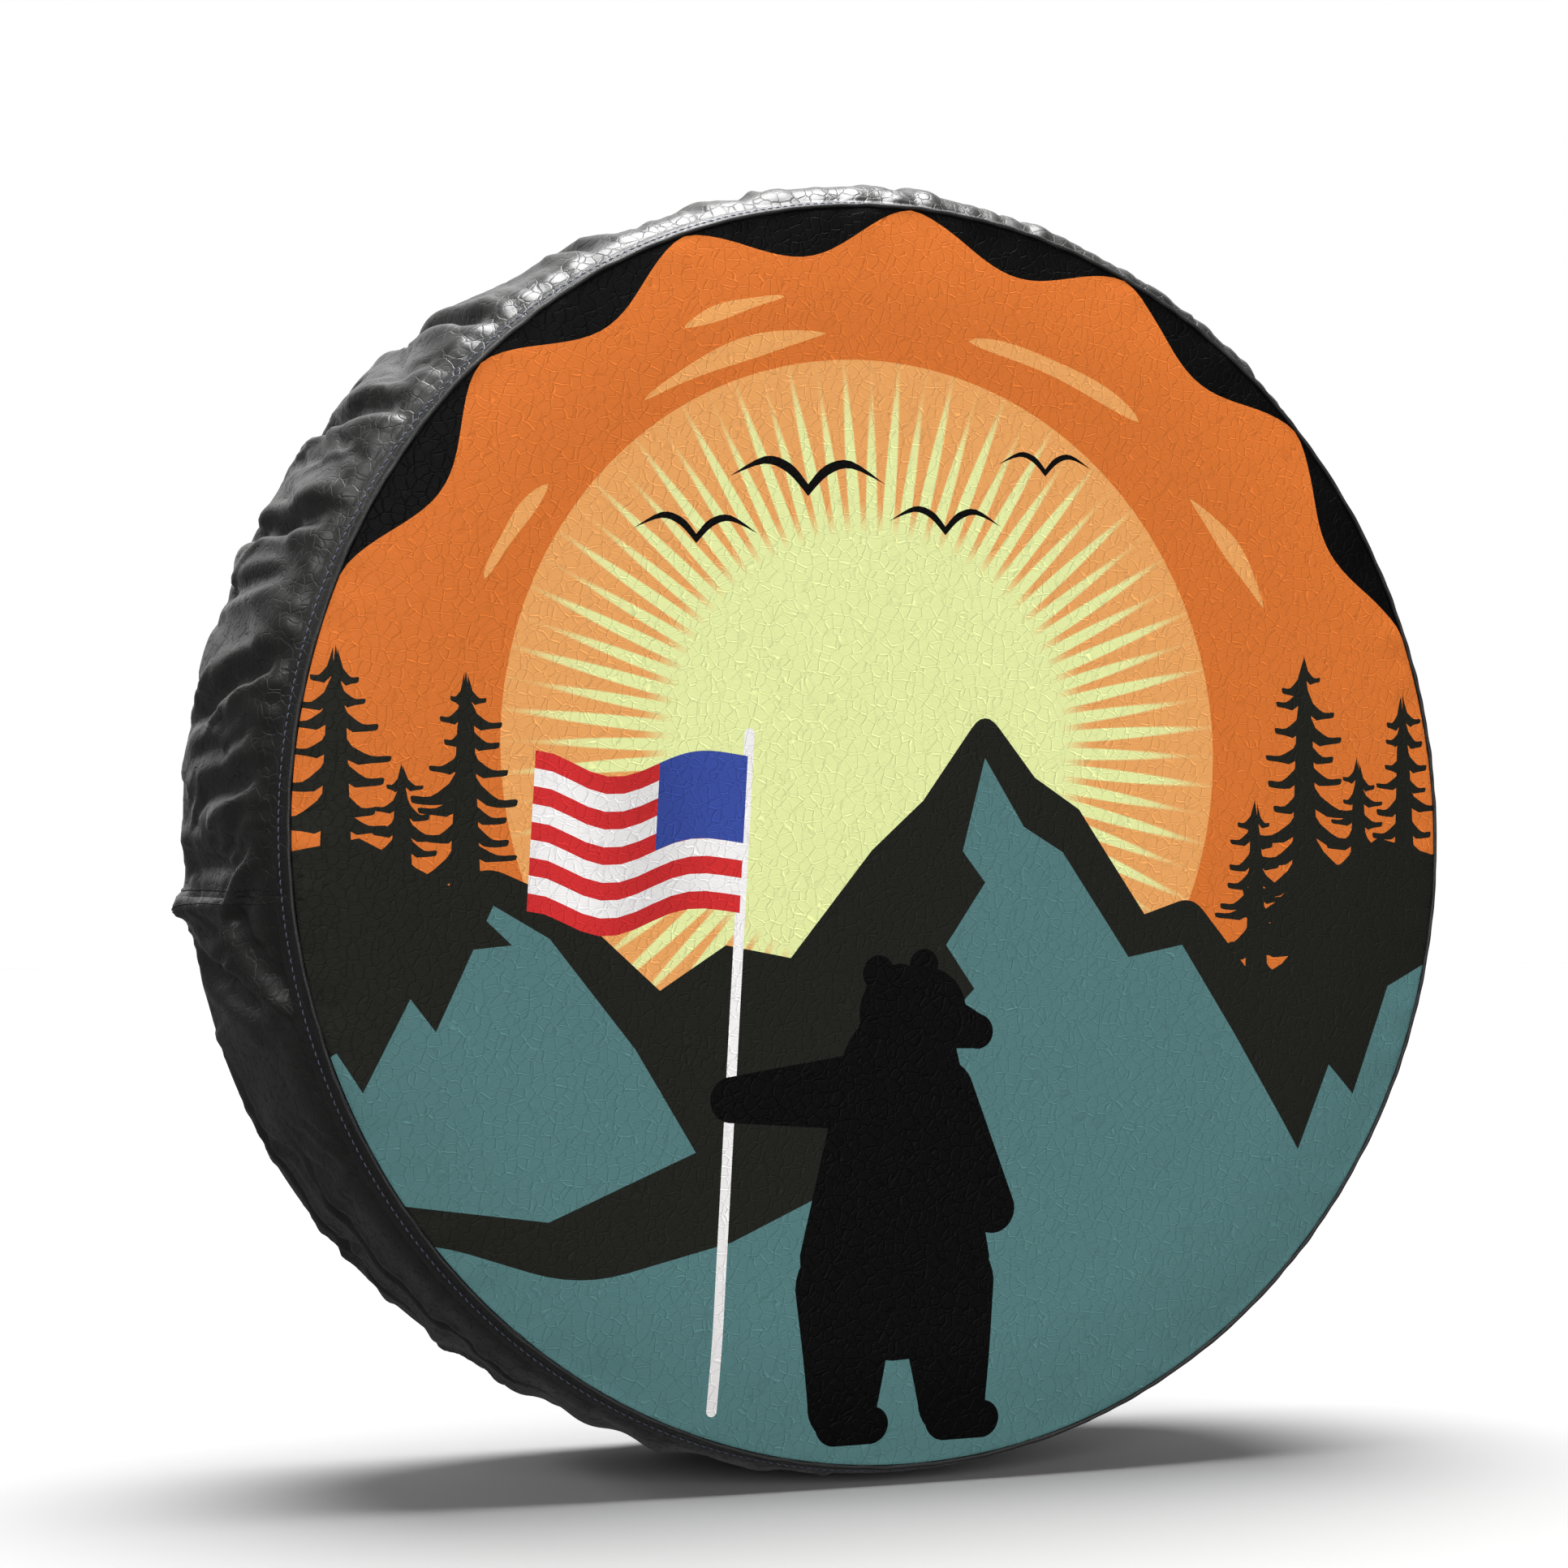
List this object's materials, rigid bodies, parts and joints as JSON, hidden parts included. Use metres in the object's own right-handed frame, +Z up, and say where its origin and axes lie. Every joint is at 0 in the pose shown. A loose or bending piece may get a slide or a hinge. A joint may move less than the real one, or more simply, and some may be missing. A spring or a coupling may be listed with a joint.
{
  "type": "spare tire cover",
  "caption": "Round leatherette spare tire cover: printed flat face, gathered black side band, bound elastic hem round an open rear mouth.",
  "frame": {"origin": "centre of the wheel that the cover sits on: on the wheel's axis, halfway through the cover's depth", "axes": "+Y along the wheel's axis out of the open rear mouth, so the printed face looks along -Y; +Z up as the print stands; +X to the right when the face is looked at"},
  "size_m": [0.7228, 0.2248, 0.723],
  "materials": {
    "printed_leatherette": "grained leatherette with a matte printed picture",
    "black_leatherette": "black grained leatherette, satin",
    "felt": "grey needled felt",
    "woven_tape": "black woven polyester tape",
    "elastic": "braided elastic",
    "thread": "dark blue-grey bonded polyester thread"
  },
  "bodies": {
    "root": {"printed_face": "printed_leatherette", "face_backing": "felt", "side_band_upper": "black_leatherette", "side_band_lower": "black_leatherette", "seam_welt": "black_leatherette", "seam_tape": "woven_tape", "hidden_seam_thread": "thread", "face_topstitch": "thread", "left_join_topstitch": "thread", "right_join_topstitch": "thread", "hem_binding": "woven_tape", "elastic_ring": "elastic", "hem_stitching": "thread"}
  },
  "joints": []
}
